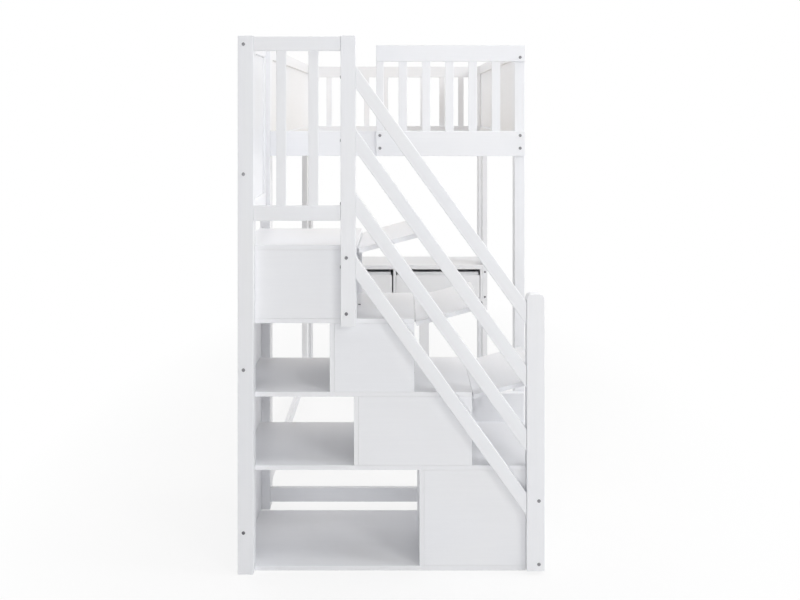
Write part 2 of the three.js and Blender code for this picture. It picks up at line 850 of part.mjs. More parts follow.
loftBed.add(nearLeg('near_left_leg', -1), nearLeg('near_right_leg', 1));
loftBed.add(farLeg('far_left_leg', -1), farLeg('far_right_leg', 1));
loftBed.add(nearEndRail(), farEndRail());
loftBed.add(sideRail('left_side_rail', -1), sideRail('right_side_rail', 1));
loftBed.add(nearGuard(), farGuard());
loftBed.add(sideGuard('left_guard', leftX), sideGuard('right_guard', rightX));
loftBed.add(nearStretcher(), leftStretcher());
loftBed.add(bedSlats());

loftBed.add(deskTop(), deskBottom(), deskBackRail(), deskDivider(), deskLeg());
loftBed.add(deskEnd('desk_end_left', -1), deskEnd('desk_end_right', 1));
loftBed.add(deskSideBoard('desk_left_board', -1), deskSideBoard('desk_right_board', 1));
loftBed.add(drawerFront('drawer_front_left', -1), drawerBox('drawer_box_left', -1));
loftBed.add(drawerFront('drawer_front_right', 1), drawerBox('drawer_box_right', 1));

export default loftBed;
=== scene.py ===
# Loft bed with storage stairs: painted wood, slatted guards, lift-up flaps and a desk.
# X runs across the bed, Y from the stairs to the desk. Sizes are in millimetres, in the frame of the
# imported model. Those of the camera's place, the lamps, the floor and the materials are in metres.
import math

import bmesh
import bpy
from mathutils import Matrix, Vector


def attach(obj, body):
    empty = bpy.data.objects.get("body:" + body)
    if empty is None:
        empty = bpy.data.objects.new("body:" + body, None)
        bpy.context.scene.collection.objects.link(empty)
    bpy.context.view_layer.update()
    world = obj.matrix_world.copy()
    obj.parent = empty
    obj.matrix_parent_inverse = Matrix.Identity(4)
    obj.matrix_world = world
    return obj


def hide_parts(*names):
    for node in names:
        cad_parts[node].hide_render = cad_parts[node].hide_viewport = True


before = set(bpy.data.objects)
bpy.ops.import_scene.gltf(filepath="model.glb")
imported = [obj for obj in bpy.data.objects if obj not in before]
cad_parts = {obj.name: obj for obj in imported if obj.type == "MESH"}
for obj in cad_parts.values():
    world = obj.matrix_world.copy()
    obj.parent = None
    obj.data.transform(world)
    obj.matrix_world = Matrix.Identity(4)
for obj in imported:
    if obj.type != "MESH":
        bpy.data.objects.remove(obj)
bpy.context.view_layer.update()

MM = 0.001
BED = "bed_frame"
STEEL_SLOT = "hinge_steel"
PINE_SLOT = "bare_pine"

# The photograph's camera: level, straight along Y, with the horizon near the picture's upper edge
IMAGE_WIDTH_PX = 800
IMAGE_HEIGHT_PX = 600
HORIZON_PX = 106.8
FOCAL_PX = 929.5
SENSOR_WIDTH_MM = 36.0
CAMERA_X = 0.0306
CAMERA_DISTANCE = 3.230
CAMERA_HEIGHT = 1.626
QUARTER_TURN = math.radians(90)

# Planes of the bed
FRONT_Y = -1257.5
BACK_Y = 1257.5
SIDE_X = 533.5
TOP_Z = 1874.0
FIT_GAP = 0.3
JOINT_GAP = 0.2

# Directions
TO_FRONT = (0, -1, 0)
TO_BACK = (0, 1, 0)
TO_LEFT = (-1, 0, 0)
TO_RIGHT = (1, 0, 0)
DOWN = (0, 0, -1)
UP = (0, 0, 1)

# Posts, legs and desk boards
FRONT_POST_X = (-SIDE_X, -479.0)
FRONT_POST_Y = (FRONT_Y, -1203.5)
LANDING_POST_X = (-176.0, -124.0)
LANDING_POST_Y = (FRONT_Y, -1227.5)
LANDING_POST_FOOT = 861.2
NEAR_LEG_INNER_X = 493.5
NEAR_LEG_Y = (-736.5, -663.5)
FAR_LEG_INNER_X = 505.0
FAR_LEG_Y = (1131.5, 1241.5)
DESK_BOARD_Y = (860.5, 956.5)
DESK_BOARD_HEAD = 1427.7

# Edge rounding
THIN_EDGE = 0.5
BOARD_EDGE = 0.8
DESK_EDGE = 1.2
POST_EDGE = 1.8
RAIL_EDGE = 2.0
SLAT_EDGE = 1.8
STAIR_POST_EDGE = 2.0
HANDRAIL_EDGE = 2.5
DRAWER_EDGE = 1.5
DRAWER_FLOOR_EDGE = 0.4
BASE_EDGE = 2.5
STRAP_EDGE = 0.4
STAPLE_EDGE = 0.2
EDGE_SEGMENTS = 3
FINE_SEGMENTS = 2
EDGE_ANGLE = math.radians(40)
WELD_REACH = 0.01
FLAT_ANGLE = math.radians(1)
BOLT_SHARP_ANGLE = math.radians(40)
HINGE_SHARP_ANGLE = math.radians(30)

# Colours, linear
PAINT = (0.895, 0.903, 0.930)
PAINT_WARM = (0.903, 0.907, 0.925)
# Grey for rubbed outer edges as wear, and for inner corners as painted shade
PAINT_WEAR_AND_CREASE_SHADE = (0.85, 0.85, 0.85)
GRAIN_SHADE = (0.975, 0.975, 0.978)
WHITE = (1.0, 1.0, 1.0)
PINE_LIGHT = (0.78, 0.68, 0.53)
PINE_PALE = (0.82, 0.75, 0.64)
PINE_RING = (0.70, 0.57, 0.41)
PINE_DARK = (0.60, 0.45, 0.29)
PINE_KNOT = (0.30, 0.17, 0.09)
ZINC = (0.84, 0.85, 0.86)
ZINC_DULL = (0.72, 0.73, 0.74)
BOLT_STEEL = (0.13, 0.13, 0.14)
BOLT_WORN = (0.30, 0.30, 0.31)
MAGNET = (0.03, 0.03, 0.035)
MAGNET_WORN = (0.08, 0.08, 0.09)
WEBBING = (0.70, 0.68, 0.62)
WEBBING_DARK = (0.50, 0.48, 0.43)
FLOOR_COLOR = (0.92, 0.92, 0.92, 1)

# Relief of the materials, and the reach and strength of the wear on their edges. On the paint the same
# edge mask also darkens inner corners, which is painted shade.
PAINT_GRAIN_RELIEF = 0.00010
ROLLER_RELIEF = 0.00003
RING_RELIEF = 0.00015
FIBRE_RELIEF = 0.00020
METAL_RELIEF = 0.00004
WEAVE_RELIEF = 0.0003
PAINT_WEAR_AND_SHADE_REACH = 0.0015
METAL_WEAR_REACH = 0.0006
PAINT_WEAR_AND_SHADE_SHARE = (0.1, 0.5)
METAL_WEAR_SHARE = 0.5

# How far a surface turns at an edge before it counts as an edge or as flat, as the cosine of the turn.
# Outer edges count as wear, and on the paint the inner corners get painted shade.
WEAR_AND_SHADE_COSINE = 0.90
FLAT_COSINE = 0.995
EDGE_SAMPLES = 4

# Gloss. Each roughness is (least, most).
PAINT_ROUGHNESS = (0.40, 0.52)
PAINT_ROUGHNESS_DRIFT = (-0.04, 0.04)
PAINT_SPECULAR = 0.45
PINE_ROUGHNESS = (0.50, 0.72)
METAL_ROUGHNESS = (0.34, 0.52)
CATCH_ROUGHNESS = (0.27, 0.45)
WEBBING_ROUGHNESS = (0.75, 0.95)
WEBBING_SHEEN = 0.15

# Patterns: how dense they are, either in all directions or in X, Y and Z, where X is the grain's way
PAINT_GRAIN = (5.0, 160.0, 160.0)
PAINT_CLOUDS = 2.6
ROLLER_STIPPLE = 620.0
PINE_BENDS = (1.6, 9.0, 9.0)
PINE_RINGS = 26.0
PINE_FIBRES = (14.0, 520.0, 520.0)
PINE_BOARDS = (0.4, 8.0, 8.0)
PINE_KNOTS = (3.2, 9.0, 3.0)
METAL_MARKS = 70.0
HINGE_LINES = (60.0, 4.0, 60.0)
BOLT_LINES = (90.0, 90.0, 90.0)
CATCH_LINES = (60.0, 60.0, 60.0)
STRAP_RIBS = 160.0
STRAP_WEFT = 110.0
STRAP_SOIL = 40.0

# How far the growth rings stray sideways, and the reach of a knot's core and rim
RING_DRIFT = (-0.05, 0.05)
KNOT_CORE = 0.045
KNOT_RIM = 0.11

# The stretch of each pattern that shows, and the most that it changes the colour
CLOUD_STRETCH = (0.35, 0.65)
GRAIN_STRETCH = (0.25, 0.75)
MARKS_STRETCH = (0.35, 0.70)
FIBRE_STRETCH = (0.3, 0.8)
FIBRE_SHARE = 0.35
PALE_SHARE = 0.30
SOIL_SHARE = 0.25

# How far the patterns move from piece to piece, so that no two boards look the same
PIECE_SHIFT = (37.0, 21.0, 53.0)

# The handrails' slope, which their grain follows
HANDRAIL_DROP = 820.0
HANDRAIL_RUN = 591.9

# The Mix node's sockets for colours, which have the same names as those for numbers and vectors
MIX_FACTOR = 0
MIX_FIRST = 6
MIX_SECOND = 7
MIX_RESULT = 2


class Nodes:
    """Adds and links the nodes of one material or world."""

    def __init__(self, owner):
        owner.use_nodes = True
        self.owner = owner
        self.tree = owner.node_tree

    def find(self, name):
        return self.tree.nodes[name]

    def fill(self, node, inputs):
        """Links the inputs that come from other nodes, and sets the others."""
        for key, value in inputs.items():
            if isinstance(value, bpy.types.NodeSocket):
                self.tree.links.new(value, node.inputs[key])
            else:
                node.inputs[key].default_value = value

    def add(self, kind, inputs=None, **settings):
        node = self.tree.nodes.new(kind)
        for key, value in settings.items():
            setattr(node, key, value)
        self.fill(node, inputs or {})
        return node

    def calc(self, operation, first, second):
        return self.add("ShaderNodeMath", {0: first, 1: second}, operation=operation).outputs[0]

    def vector(self, operation, first, second):
        return self.add("ShaderNodeVectorMath", {0: first, 1: second}, operation=operation).outputs[0]

    def ramp(self, factor, stops):
        """A colour for each factor. Each stop is (place, colour)."""
        node = self.add("ShaderNodeValToRGB", {"Fac": factor})
        elements = node.color_ramp.elements
        elements[0].position, elements[1].position = stops[0][0], stops[-1][0]
        elements[0].color, elements[1].color = (*stops[0][1], 1), (*stops[-1][1], 1)
        for position, color in stops[1:-1]:
            elements.new(position).color = (*color, 1)
        return node.outputs["Color"]

    def mix(self, factor, first, second, blend="MIX"):
        node = self.add("ShaderNodeMix", data_type="RGBA", blend_type=blend)
        colors = [(*value, 1) if isinstance(value, tuple) else value for value in (first, second)]
        self.fill(node, {MIX_FACTOR: factor, MIX_FIRST: colors[0], MIX_SECOND: colors[1]})
        return node.outputs[MIX_RESULT]

    def scaled(self, value, low, high, start=0.0, end=1.0):
        """Turns the stretch from start to end into the one from low to high."""
        inputs = {"Value": value, "From Min": start, "From Max": end, "To Min": low, "To Max": high}
        return self.add("ShaderNodeMapRange", inputs).outputs[0]

    def place(self, angle=0.0, axis="Y"):
        """Object coordinates, turned so that X runs along the grain, and shifted for each piece."""
        coordinate = self.add("ShaderNodeTexCoord").outputs["Object"]
        random = self.add("ShaderNodeObjectInfo").outputs["Random"]
        turn = {"Y": (0, angle, 0), "Z": (0, 0, angle)}[axis]
        turned = self.add("ShaderNodeMapping", {"Vector": coordinate, "Rotation": turn}).outputs[0]
        return self.vector("ADD", turned, self.vector("MULTIPLY", random, PIECE_SHIFT))

    def noise(self, vector, scale=1.0, detail=3.0, stretch=None, roughness=0.5):
        if stretch:
            vector = self.add("ShaderNodeMapping", {"Vector": vector, "Scale": stretch}).outputs[0]
        settings = {"Vector": vector, "Scale": scale, "Detail": detail, "Roughness": roughness}
        return self.add("ShaderNodeTexNoise", settings).outputs["Fac"]

    def wave(self, vector, direction, **settings):
        inputs = {name.replace("_", " ").title(): value for name, value in settings.items()}
        node = self.add("ShaderNodeTexWave", {"Vector": vector, **inputs},
                        wave_type="BANDS", bands_direction=direction)
        return node.outputs["Fac"]

    def edges(self, radius):
        """1 along convex and concave edges, 0 on flat faces."""
        bevel = self.add("ShaderNodeBevel", {"Radius": radius}, samples=EDGE_SAMPLES).outputs[0]
        normal = self.add("ShaderNodeNewGeometry").outputs["Normal"]
        dot = self.add("ShaderNodeVectorMath", {0: bevel, 1: normal}, operation="DOT_PRODUCT")
        return self.scaled(dot.outputs["Value"], 1.0, 0.0, start=WEAR_AND_SHADE_COSINE, end=FLAT_COSINE)

    def bump(self, height, distance, strength, below=None):
        inputs = {"Height": height, "Distance": distance, "Strength": strength}
        if below:
            inputs["Normal"] = below
        return self.add("ShaderNodeBump", inputs).outputs[0]

    def surface(self, color, roughness, normal, **values):
        """Finishes a material. The values that are the same all over go to the shader's own sockets."""
        inputs = {"Base Color": color, "Roughness": roughness, "Normal": normal}
        inputs.update({name.replace("_", " "): value for name, value in values.items()})
        self.fill(self.find("Principled BSDF"), inputs)
        return self.owner


def paint_material(name, angle, axis):
    """Satin white paint: grain shows through faintly, roller texture, rubbed outer edges and painted shade
    in the inner corners.
    """
    nodes = Nodes(bpy.data.materials.new(name))
    place = nodes.place(angle, axis)
    grain = nodes.noise(place, detail=6.0, stretch=PAINT_GRAIN, roughness=0.6)
    cloud = nodes.noise(place, scale=PAINT_CLOUDS, detail=2.0)
    roller = nodes.noise(place, scale=ROLLER_STIPPLE)
    color = nodes.mix(nodes.scaled(cloud, 0.0, 1.0, *CLOUD_STRETCH), PAINT, PAINT_WARM)
    shade = nodes.ramp(nodes.scaled(grain, 0.0, 1.0, *GRAIN_STRETCH), [(0.0, GRAIN_SHADE), (1.0, WHITE)])
    color = nodes.mix(1.0, color, shade, "MULTIPLY")
    # The paint greys on its outer edges as wear, and in its inner corners as painted crease shade
    wear_and_crease_shade = nodes.calc("MULTIPLY", nodes.edges(PAINT_WEAR_AND_SHADE_REACH), nodes.scaled(cloud, *PAINT_WEAR_AND_SHADE_SHARE))
    color = nodes.mix(wear_and_crease_shade, color, PAINT_WEAR_AND_CREASE_SHADE)
    gloss = nodes.calc("ADD", nodes.scaled(roller, *PAINT_ROUGHNESS),
                       nodes.scaled(cloud, *PAINT_ROUGHNESS_DRIFT))
    under = nodes.bump(grain, PAINT_GRAIN_RELIEF, strength=0.6)
    normal = nodes.bump(roller, ROLLER_RELIEF, strength=0.6, below=under)
    return nodes.surface(color, gloss, normal, Specular_IOR_Level=PAINT_SPECULAR)


def pine_material():
    """Sanded pine slats: growth rings cut lengthwise along X, pores and a few knots."""
    nodes = Nodes(bpy.data.materials.new("bare_pine"))
    place = nodes.place()
    bent = nodes.noise(place, detail=4.0, stretch=PINE_BENDS)
    shift = nodes.add("ShaderNodeCombineXYZ", {"Y": nodes.scaled(bent, *RING_DRIFT)}).outputs[0]
    rings = nodes.wave(nodes.vector("ADD", place, shift), "Y", scale=PINE_RINGS, distortion=1.2,
                       detail=3.0, detail_scale=1.5)
    fibre = nodes.noise(place, detail=6.0, stretch=PINE_FIBRES, roughness=0.65)
    board = nodes.noise(place, detail=1.0, stretch=PINE_BOARDS)
    color = nodes.ramp(rings, [(0.15, PINE_LIGHT), (0.8, PINE_RING), (1.0, PINE_DARK)])
    color = nodes.mix(nodes.scaled(fibre, 0.0, FIBRE_SHARE, *FIBRE_STRETCH), color, PINE_DARK)
    color = nodes.mix(nodes.scaled(board, 0.0, PALE_SHARE), color, PINE_PALE)
    spread = nodes.add("ShaderNodeMapping", {"Vector": place, "Scale": PINE_KNOTS}).outputs[0]
    knots = nodes.add("ShaderNodeTexVoronoi", {"Vector": spread, "Scale": 1.0}, feature="F1")
    knot = nodes.scaled(knots.outputs["Distance"], 1.0, 0.0, start=KNOT_CORE, end=KNOT_RIM)
    color = nodes.mix(knot, color, PINE_KNOT)
    under = nodes.bump(rings, RING_RELIEF, strength=0.5)
    normal = nodes.bump(fibre, FIBRE_RELIEF, strength=0.7, below=under)
    return nodes.surface(color, nodes.scaled(fibre, *PINE_ROUGHNESS), normal)


def metal_material(name, bright, dull, rough, metallic, stretch):
    """Metal with drawn lines, handling marks and paler edges. Rough is (least, most)."""
    nodes = Nodes(bpy.data.materials.new(name))
    place = nodes.place()
    lines = nodes.noise(place, detail=4.0, stretch=stretch, roughness=0.6)
    marks = nodes.noise(place, scale=METAL_MARKS, detail=4.0)
    color = nodes.mix(nodes.scaled(marks, 0.0, 1.0, *MARKS_STRETCH), bright, dull)
    color = nodes.mix(nodes.scaled(lines, 0.0, FIBRE_SHARE, *FIBRE_STRETCH), color, dull)
    worn = nodes.calc("MULTIPLY", nodes.edges(METAL_WEAR_REACH), METAL_WEAR_SHARE)
    color = nodes.mix(worn, color, bright)
    normal = nodes.bump(lines, METAL_RELIEF, strength=0.5)
    return nodes.surface(color, nodes.scaled(marks, *rough), normal, Metallic=metallic)


def webbing_material():
    """Woven polyester strap: warp ribs along Y, weft across."""
    nodes = Nodes(bpy.data.materials.new("webbing"))
    place = nodes.place()
    ribs = nodes.wave(place, "X", scale=STRAP_RIBS, distortion=0.4)
    weft = nodes.wave(place, "Y", scale=STRAP_WEFT, distortion=0.6)
    weave = nodes.calc("MULTIPLY", ribs, weft)
    soil = nodes.noise(place, scale=STRAP_SOIL, detail=4.0)
    color = nodes.ramp(weave, [(0.0, WEBBING_DARK), (0.6, WEBBING)])
    color = nodes.mix(nodes.scaled(soil, 0.0, SOIL_SHARE), color, WEBBING_DARK)
    normal = nodes.bump(weave, WEAVE_RELIEF, strength=0.8)
    return nodes.surface(color, nodes.scaled(soil, *WEBBING_ROUGHNESS), normal, Sheen_Weight=WEBBING_SHEEN)


# White paint for each way that the grain runs
PAINTS = {
    "x": paint_material("white_paint_x", 0.0, "Z"),
    "y": paint_material("white_paint_y", QUARTER_TURN, "Z"),
    "z": paint_material("white_paint_z", QUARTER_TURN, "Y"),
    "slope": paint_material("white_paint_slope", -math.atan2(HANDRAIL_DROP, HANDRAIL_RUN), "Y"),
}
PINE = pine_material()
HINGE = metal_material("hinge_steel", ZINC, ZINC_DULL, METAL_ROUGHNESS, metallic=0.35,
                       stretch=HINGE_LINES)
BOLT = metal_material("bolt_steel", BOLT_WORN, BOLT_STEEL, METAL_ROUGHNESS, metallic=0.7,
                      stretch=BOLT_LINES)
CATCH = metal_material("magnet_black", MAGNET_WORN, MAGNET, CATCH_ROUGHNESS, metallic=0.2,
                       stretch=CATCH_LINES)
STRAP = webbing_material()


def new_object(name, bm, material):
    mesh = bpy.data.meshes.new(name)
    bm.normal_update()
    bm.to_mesh(mesh)
    bm.free()
    for polygon in mesh.polygons:
        polygon.use_smooth = True
    mesh.materials.append(material)
    piece = bpy.data.objects.new(name, mesh)
    bpy.context.scene.collection.objects.link(piece)
    return piece


def assign(piece, body, node):
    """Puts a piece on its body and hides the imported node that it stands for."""
    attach(piece, body)
    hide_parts(node)


def round_edges(piece, width, segments=EDGE_SEGMENTS):
    bevel = piece.modifiers.new("round_edges", "BEVEL")
    bevel.width = width * MM
    bevel.segments = segments
    bevel.limit_method = "ANGLE"
    bevel.angle_limit = EDGE_ANGLE
    bevel.harden_normals = False
    bevel.use_clamp_overlap = True
    weighted = piece.modifiers.new("face_normals", "WEIGHTED_NORMAL")
    weighted.keep_sharp = True


def dress_board(name, grain, edge):
    """A packed board keeps its mesh and gets rounded edges and paint."""
    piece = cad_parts[name]
    piece.data.materials.clear()
    piece.data.materials.append(PAINTS[grain])
    for polygon in piece.data.polygons:
        polygon.use_smooth = True
    weld = piece.modifiers.new("weld", "WELD")
    weld.merge_threshold = WELD_REACH * MM
    flat = piece.modifiers.new("flat_faces", "DECIMATE")
    flat.decimate_type = "DISSOLVE"
    flat.angle_limit = FLAT_ANGLE
    round_edges(piece, edge)


def add_block(bm, low, high):
    """A block between two corners."""
    size = [(b - a) * MM for a, b in zip(low, high)]
    middle = [(a + b) / 2 * MM for a, b in zip(low, high)]
    matrix = Matrix.Translation(middle) @ Matrix.Diagonal((*size, 1))
    return bmesh.ops.create_cube(bm, size=1.0, matrix=matrix)["verts"]


def add_prism(bm, outline, y, matrix):
    """An outline in X and Z, carried along a stretch of Y."""
    rings = [[bm.verts.new(matrix @ (Vector((x, at, z)) * MM)) for x, z in outline] for at in y]
    count = len(outline)
    for index in range(count):
        after = (index + 1) % count
        bm.faces.new((rings[0][index], rings[0][after], rings[1][after], rings[1][index]))
    bm.faces.new(list(reversed(rings[0])))
    bm.faces.new(rings[1])
    bmesh.ops.recalc_face_normals(bm, faces=bm.faces)


def blocks_object(name, blocks, grain, edge, node, body=BED):
    """A painted piece glued up from blocks. Each block is (low corner, high corner)."""
    bm = bmesh.new()
    for low, high in blocks:
        add_block(bm, low, high)
    piece = new_object(name, bm, PAINTS[grain])
    round_edges(piece, edge)
    assign(piece, body, node)


def revolve(bm, profile, sides, matrix, radius_of=None):
    """Rings of a profile (radius, height) about Z, closed at both ends."""
    rings = []
    for index, (radius, height) in enumerate(profile):
        ring = []
        for step in range(sides):
            angle = 2 * math.pi * step / sides
            reach = radius_of(index, radius, angle) if radius_of else radius
            point = Vector((reach * math.cos(angle), reach * math.sin(angle), height)) * MM
            ring.append(bm.verts.new(matrix @ point))
        rings.append(ring)
    for low, high in zip(rings, rings[1:]):
        for step in range(sides):
            after = (step + 1) % sides
            bm.faces.new((low[step], low[after], high[after], high[step]))
    bm.faces.new(list(reversed(rings[0])))
    bm.faces.new(rings[-1])


def aim(direction):
    """Turns Z to a direction."""
    return Vector(direction).to_track_quat("Z", "Y").to_matrix().to_4x4()


def upright(x, y, foot=0.0, head=TOP_Z):
    """The corners of a block, from its stretches of X and Y and its two heights."""
    return (x[0], y[0], foot), (x[1], y[1], head)


def around(middle, half):
    return middle - half, middle + half


def middle_of(stretch):
    return sum(stretch) / 2


def make_camera():
    """Camera of the photograph, in front of the stairs."""
    data = bpy.data.cameras.new("camera")
    camera = bpy.data.objects.new("camera", data)
    bpy.context.scene.collection.objects.link(camera)
    data.sensor_width = SENSOR_WIDTH_MM
    data.lens = FOCAL_PX / IMAGE_WIDTH_PX * SENSOR_WIDTH_MM
    data.shift_y = -(IMAGE_HEIGHT_PX / 2 - HORIZON_PX) / IMAGE_WIDTH_PX
    camera.location = (CAMERA_X, FRONT_Y * MM - CAMERA_DISTANCE, CAMERA_HEIGHT)
    camera.rotation_euler = (QUARTER_TURN, 0, 0)
    bpy.context.scene.camera = camera


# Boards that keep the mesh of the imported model: grain direction and edge rounding
CAD_BOARDS = {
    "stair_base_board": ("x", BOARD_EDGE),
    **{f"stair_tread_{level}": ("x", BOARD_EDGE) for level in (1, 2, 3, 4)},
    **{f"stair_divider_{level}": ("z", BOARD_EDGE) for level in (1, 2, 3)},
    **{f"outer_panel_{level}": ("x", BOARD_EDGE) for level in (1, 2, 3, 4)},
    "stair_back_panel": ("x", THIN_EDGE),
    "left_side_panel": ("z", THIN_EDGE),
    "riser_panel": ("y", BOARD_EDGE),
    "upper_link_rail": ("x", POST_EDGE),
    "lower_link_rail": ("x", POST_EDGE),
    "near_end_rail": ("x", POST_EDGE),
    "far_end_rail": ("x", POST_EDGE),
    "left_side_rail": ("y", RAIL_EDGE),
    "right_side_rail": ("y", RAIL_EDGE),
    "near_stretcher": ("x", POST_EDGE),
    "left_stretcher": ("y", POST_EDGE),
    "desk_top": ("x", DESK_EDGE),
    "desk_bottom": ("x", BOARD_EDGE),
    "desk_back_rail": ("x", BOARD_EDGE),
    "desk_divider": ("z", BOARD_EDGE),
    "desk_leg": ("z", POST_EDGE),
    "desk_end_left": ("y", BOARD_EDGE),
    "desk_end_right": ("y", BOARD_EDGE),
    "drawer_front_left": ("x", DESK_EDGE),
    "drawer_front_right": ("x", DESK_EDGE),
    **{f"handrail_{number}": ("slope", HANDRAIL_EDGE) for number in (1, 2, 3, 4)},
}

NEAR_LEG_X = {"left": (-SIDE_X, -NEAR_LEG_INNER_X), "right": (NEAR_LEG_INNER_X, SIDE_X)}
FAR_LEG_X = {"left": (-SIDE_X, -FAR_LEG_INNER_X), "right": (FAR_LEG_INNER_X, SIDE_X)}

# Posts, legs and desk boards: corners and edge rounding
POSTS = {
    "front_left_post": (upright(FRONT_POST_X, FRONT_POST_Y), STAIR_POST_EDGE),
    "landing_post": (upright(LANDING_POST_X, LANDING_POST_Y, foot=LANDING_POST_FOOT), STAIR_POST_EDGE),
    "near_left_leg": (upright(NEAR_LEG_X["left"], NEAR_LEG_Y), POST_EDGE),
    "near_right_leg": (upright(NEAR_LEG_X["right"], NEAR_LEG_Y), POST_EDGE),
    "far_left_leg": (upright(FAR_LEG_X["left"], FAR_LEG_Y), POST_EDGE),
    "far_right_leg": (upright(FAR_LEG_X["right"], FAR_LEG_Y), POST_EDGE),
    "desk_left_board": (upright(FAR_LEG_X["left"], DESK_BOARD_Y, head=DESK_BOARD_HEAD), POST_EDGE),
    "desk_right_board": (upright(FAR_LEG_X["right"], DESK_BOARD_Y, head=DESK_BOARD_HEAD), POST_EDGE),
}


def make_posts():
    for name, (corners, edge) in POSTS.items():
        blocks_object(f"{name}_wood", [corners], "z", edge, name)


# Newel post at the foot of the stairs
NEWEL_LOW_X = 471.5
NEWEL_DEPTH = 46.0
NEWEL_Y = (FRONT_Y, FRONT_Y + NEWEL_DEPTH)
NEWEL_TOP = 974.0
NEWEL_FOOT = 11.5
NEWEL_CORNER = 18.0
CORNER_STEPS = 10


def make_newel():
    """Post with rounded upper corners, extruded along Y."""
    bm = bmesh.new()
    outline = [(NEWEL_LOW_X, NEWEL_FOOT), (SIDE_X, NEWEL_FOOT)]
    for middle_x, start in ((SIDE_X - NEWEL_CORNER, 0), (NEWEL_LOW_X + NEWEL_CORNER, math.pi / 2)):
        for step in range(CORNER_STEPS + 1):
            angle = start + math.pi / 2 * step / CORNER_STEPS
            outline.append((middle_x + NEWEL_CORNER * math.cos(angle),
                            NEWEL_TOP - NEWEL_CORNER + NEWEL_CORNER * math.sin(angle)))
    add_prism(bm, outline, NEWEL_Y, Matrix.Identity(4))
    piece = new_object("newel_post_wood", bm, PAINTS["z"])
    round_edges(piece, STAIR_POST_EDGE)
    assign(piece, BED, "newel_post")


# Guards: rails are (foot, head), and the slats and panels are let into them by the tenon
SLAT_WIDTH = 34.0
SLAT_HALF = 6.0
TENON = 8.0
TOP_RAIL = (1808.0, TOP_Z)
NEAR_STILE_X = (-65.0, -35.0)
NEAR_GUARD_X = (NEAR_STILE_X[0], SIDE_X)
NEAR_GUARD_Y = (-752.5, NEAR_LEG_Y[0] - FIT_GAP)
NEAR_LOW_RAIL = (1428.0, 1528.0)
FAR_GUARD_Y = (FAR_LEG_Y[1] + FIT_GAP, BACK_Y)
FAR_LOW_RAIL = (1428.0, 1508.0)
LANDING_GUARD_X = (FRONT_POST_X[1] + FIT_GAP, LANDING_POST_X[0] - FIT_GAP)
LANDING_GUARD_Y = (-1254.5, -1230.5)
LANDING_LOW_RAIL = (1229.0, 1281.0)
LANDING_TOP_RAIL = (1821.0, 1871.0)
LONG_GUARD_Y = (NEAR_LEG_Y[1] + FIT_GAP, FAR_LEG_Y[0] - FIT_GAP)
LONG_GUARD_FOOT = 1508.3
SIDE_GUARD_Y = (FRONT_POST_Y[1] + FIT_GAP, NEAR_LEG_Y[0] - FIT_GAP)
SIDE_GUARD_THICKNESS = 24.0
SIDE_RAIL_HEIGHT = 50.0
SIDE_TOP_RAIL = (TOP_Z - SIDE_RAIL_HEIGHT, TOP_Z)
SIDE_STILE_WIDTH = 38.0
PANEL_HALF = 4.0
NEAR_SLATS = 5
FAR_SLATS = 8
LANDING_SLATS = 2


def slat_row(count, x, middle_y, low_rail, top_rail):
    """Slats between two rails, with equal gaps along a stretch of X."""
    gap = (x[1] - x[0] - count * SLAT_WIDTH) / (count + 1)
    lows = [x[0] + gap + index * (SLAT_WIDTH + gap) for index in range(count)]
    return [((low, middle_y - SLAT_HALF, low_rail[1] - TENON),
             (low + SLAT_WIDTH, middle_y + SLAT_HALF, top_rail[0] + TENON)) for low in lows]


def make_slat_guard(name, x, y, low_rail, top_rail, count, slats_x, stiles=()):
    """A guard along X: two rails, and a piece with its stiles and slats."""
    rails = [((x[0], y[0], foot), (x[1], y[1], head)) for foot, head in (low_rail, top_rail)]
    slats = slat_row(count, slats_x, middle_of(y), low_rail, top_rail)
    blocks_object(f"{name}_rails", rails, "x", RAIL_EDGE, name)
    blocks_object(f"{name}_slats", [*stiles, *slats], "z", SLAT_EDGE, name)


def make_guards():
    """Slatted guards: near end beside the entry, far end and the landing's outer side."""
    stile = upright(NEAR_STILE_X, NEAR_GUARD_Y, NEAR_LOW_RAIL[1] + JOINT_GAP, TOP_RAIL[0] - JOINT_GAP)
    make_slat_guard("near_guard", NEAR_GUARD_X, NEAR_GUARD_Y, NEAR_LOW_RAIL, TOP_RAIL, NEAR_SLATS,
                    (NEAR_STILE_X[1], NEAR_LEG_INNER_X), [stile])
    make_slat_guard("far_guard", (-SIDE_X, SIDE_X), FAR_GUARD_Y, FAR_LOW_RAIL, TOP_RAIL, FAR_SLATS,
                    (-FAR_LEG_INNER_X, FAR_LEG_INNER_X))
    make_slat_guard("landing_front_guard", LANDING_GUARD_X, LANDING_GUARD_Y, LANDING_LOW_RAIL,
                    LANDING_TOP_RAIL, LANDING_SLATS, LANDING_GUARD_X)


def make_panel_guard(name, side, y, foot, low_rail=None):
    """A guard along Y: rails, stiles and a thin panel let into them."""
    x = sorted((side * SIDE_X, side * (SIDE_X - SIDE_GUARD_THICKNESS)))
    stile_z = (foot, SIDE_TOP_RAIL[0] - JOINT_GAP)
    rails = [upright(x, y, *SIDE_TOP_RAIL)]
    if low_rail:
        rails.append(upright(x, y, *low_rail))
        stile_z = (low_rail[1] + JOINT_GAP, stile_z[1])
    stiles = [upright(x, (y[1] - SIDE_STILE_WIDTH, y[1]), *stile_z)]
    if not low_rail:
        stiles.append(upright(x, (y[0], y[0] + SIDE_STILE_WIDTH), *stile_z))
    panel_y = (y[0] if low_rail else y[0] + TENON, y[1] - TENON)
    panel = upright(around(middle_of(x), PANEL_HALF), panel_y, foot, SIDE_TOP_RAIL[0] + TENON)
    blocks_object(f"{name}_rails", rails, "y", RAIL_EDGE, name)
    blocks_object(f"{name}_stiles", stiles, "z", POST_EDGE, name)
    blocks_object(f"{name}_panel", [panel], "y", BOARD_EDGE, name)


